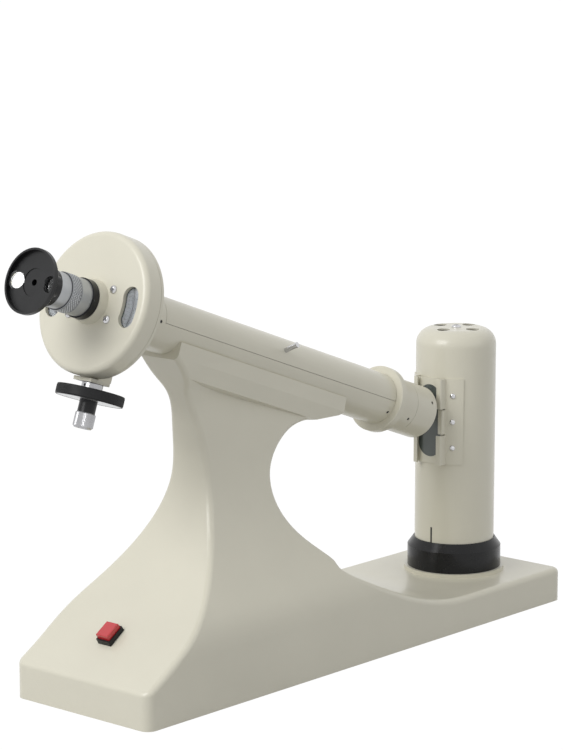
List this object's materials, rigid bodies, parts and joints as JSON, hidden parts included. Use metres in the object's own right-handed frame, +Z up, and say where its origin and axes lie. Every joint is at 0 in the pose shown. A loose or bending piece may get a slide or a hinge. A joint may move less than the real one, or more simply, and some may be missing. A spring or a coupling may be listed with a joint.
{
  "type": "polarimeter",
  "caption": "Bench disc polarimeter: sloping tube with a hinged cover on a cast column, eyepiece and dial housing with a bevel-driven dial, and an upright lamp house.",
  "frame": {"origin": "middle of the whole instrument's footprint, on the surface it stands on", "axes": "+X from the eyepiece to the lamp house, +Y across to the far side of the tube's hinge, +Z up"},
  "size_m": [0.5602, 0.139, 0.356],
  "materials": {
    "enamel": "satin ivory enamel",
    "black_paint": "semi-gloss black",
    "black_plastic": "moulded black",
    "chrome": "bright plated",
    "satin_aluminium": "satin anodised",
    "steel": "turned",
    "brass": "turned",
    "glass": "clear",
    "grey_glass": "smoke grey diffusing",
    "scale_metal": "engraved satin",
    "red_cap": "translucent red",
    "rubber": "matt",
    "copper_winding": "varnished winding",
    "bulb_glass": "clear hard glass",
    "mount_plastic": "ceramic white"
  },
  "bodies": {
    "stand": {"base_casting": "enamel", "base_plate": "steel", "base_plate_screws": "steel", "rubber_feet": "rubber", "ballast_choke": "copper_winding", "power_inlet": "black_plastic", "inlet_pins": "brass", "switch_bezel": "black_plastic", "tube_body": "enamel", "hinge_pins": "steel", "tube_screws": "steel", "end_ring": "enamel", "half_shade_mount": "enamel", "half_shade_plate": "glass", "polariser_mount": "enamel", "polariser": "grey_glass", "condenser_lens": "glass", "housing_cover": "enamel", "housing_rear_plate": "enamel", "housing_screws": "chrome", "window_masks": "black_paint", "window_panes": "glass", "vernier_plate": "scale_metal", "bearing_plate": "enamel", "eyepiece_collar": "black_paint", "objective_lens": "glass", "eyepiece_barrel": "satin_aluminium", "lamp_seat": "black_paint", "lamp_socket": "mount_plastic", "lamp_cap": "brass", "sodium_lamp": "bulb_glass"},
    "dial": {"dial_disc": "scale_metal", "dial_gear": "brass", "dial_hub": "brass", "hub_clip": "steel", "analyser": "grey_glass"},
    "handwheel": {"pinion_shaft": "steel", "shaft_collar": "chrome", "handwheel": "black_plastic", "handwheel_disc": "satin_aluminium", "knob_neck": "black_paint", "fine_knob": "chrome"},
    "cover": {"tube_cover": "enamel", "cover_handle": "chrome"},
    "focus": {"focus_ring": "satin_aluminium"},
    "eyepiece": {"draw_tube": "satin_aluminium", "eye_lens": "glass", "magnifier_dish": "black_paint", "magnifier_lenses": "glass"},
    "switch": {"switch_button": "red_cap"},
    "lamp_cover": {"lamp_house": "enamel", "heat_baffle": "satin_aluminium", "slide_guides": "enamel", "lamp_house_screws": "chrome"},
    "filter": {"filter_slide": "enamel", "filter_glass": "grey_glass"}
  },
  "joints": [
    {"name": "dial_turn", "type": "hinge", "parent": "stand", "child": "dial", "pos_m": [-0.21066, 0, 0.307], "axis": [0.9397, 0, -0.342], "continuous": true},
    {"name": "handwheel_turn", "type": "hinge", "parent": "stand", "child": "handwheel", "pos_m": [-0.19064, 0, 0.29972], "axis": [-0.342, 0, -0.9397], "continuous": true},
    {"name": "cover_hinge", "type": "hinge", "parent": "stand", "child": "cover", "pos_m": [-0.21066, 0.023, 0.307], "axis": [-0.9397, 0, 0.342], "range_deg": [0, 110]},
    {"name": "focus_turn", "type": "hinge", "parent": "stand", "child": "focus", "pos_m": [-0.21066, 0, 0.307], "axis": [0.9397, 0, -0.342], "range_deg": [-75, 75]},
    {"name": "eyepiece_slide", "type": "slide", "parent": "stand", "child": "eyepiece", "axis": [0.9397, 0, -0.342], "range_m": [-0.0025, 0.0025]},
    {"name": "switch_press", "type": "slide", "parent": "stand", "child": "switch", "axis": [0.5446, 0, -0.8387], "range_m": [0, 0.0025], "stiffness_N_per_m": 400},
    {"name": "lamp_cover_lift", "type": "slide", "parent": "stand", "child": "lamp_cover", "axis": [0, 0, 1], "range_m": [0, 0.17]},
    {"name": "filter_lift", "type": "slide", "parent": "lamp_cover", "child": "filter", "axis": [0, 0, 1], "range_m": [0, 0.06]}
  ],
  "couplings": [
    {"joint": "handwheel_turn", "follows": "dial_turn", "ratio": 7.5},
    {"joint": "eyepiece_slide", "follows": "focus_turn", "m_per_rad": 0.0019099}
  ]
}
